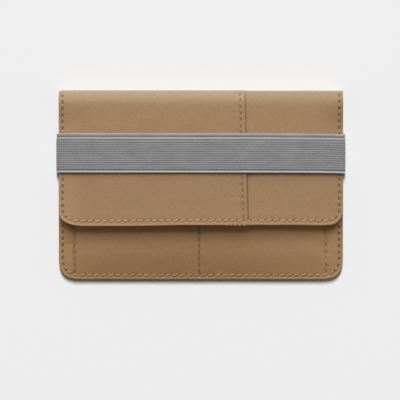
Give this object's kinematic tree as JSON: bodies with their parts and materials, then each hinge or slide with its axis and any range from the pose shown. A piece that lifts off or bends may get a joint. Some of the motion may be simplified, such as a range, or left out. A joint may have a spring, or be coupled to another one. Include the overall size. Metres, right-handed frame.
{
  "type": "travel document case",
  "caption": "Flat fabric travel document case with a fold-over flap, slip pockets and a ribbed elastic band that holds it shut.",
  "frame": {"origin": "centre of the case's outline, on the floor: the underside of the band's back run is at z = 0", "axes": "+Z out of the front of the case, +X to its right as seen from the front, +Y towards the top fold"},
  "size_m": [0.1862, 0.1212, 0.0144],
  "materials": {
    "outer_fabric": "fine smooth nylon with a slight sheen",
    "lining_fabric": "thin plain lining cloth",
    "stiffener_board": "matt sheet, sealed inside",
    "ribbed_elastic": "ribbed knitted elastic"
  },
  "bodies": {
    "case": {"back_panel": "outer_fabric", "back_stiffener": "stiffener_board", "back_lining": "lining_fabric", "pocket_divider": "lining_fabric", "front_lining": "lining_fabric", "front_panel": "outer_fabric"},
    "spine": {"spine_panel": "outer_fabric", "spine_lining": "lining_fabric"},
    "flap": {"flap_panel": "outer_fabric", "flap_overlay": "outer_fabric", "flap_stiffener": "stiffener_board", "flap_lining": "lining_fabric"},
    "elastic_band": {"band_front_run": "ribbed_elastic", "band_side_left": "ribbed_elastic", "band_side_right": "ribbed_elastic", "band_back_left": "ribbed_elastic", "band_back_right": "ribbed_elastic"}
  },
  "joints": [
    {"name": "spine_fold", "type": "hinge", "parent": "case", "child": "spine", "pos_m": [0, 0.06065, 0.0015], "axis": [-1, 0, 0], "range_deg": [0, 90], "deforming": ["band_front_run"]},
    {"name": "flap_fold", "type": "hinge", "parent": "spine", "child": "flap", "pos_m": [0, 0.06065, 0.0123], "axis": [-1, 0, 0], "range_deg": [0, 90]},
    {"name": "band_slide", "type": "slide", "parent": "case", "child": "elastic_band", "axis": [0, -1, 0], "range_m": [0, 0.098]}
  ],
  "couplings": [
    {"joint": "flap_fold", "follows": "spine_fold", "ratio": 1}
  ]
}
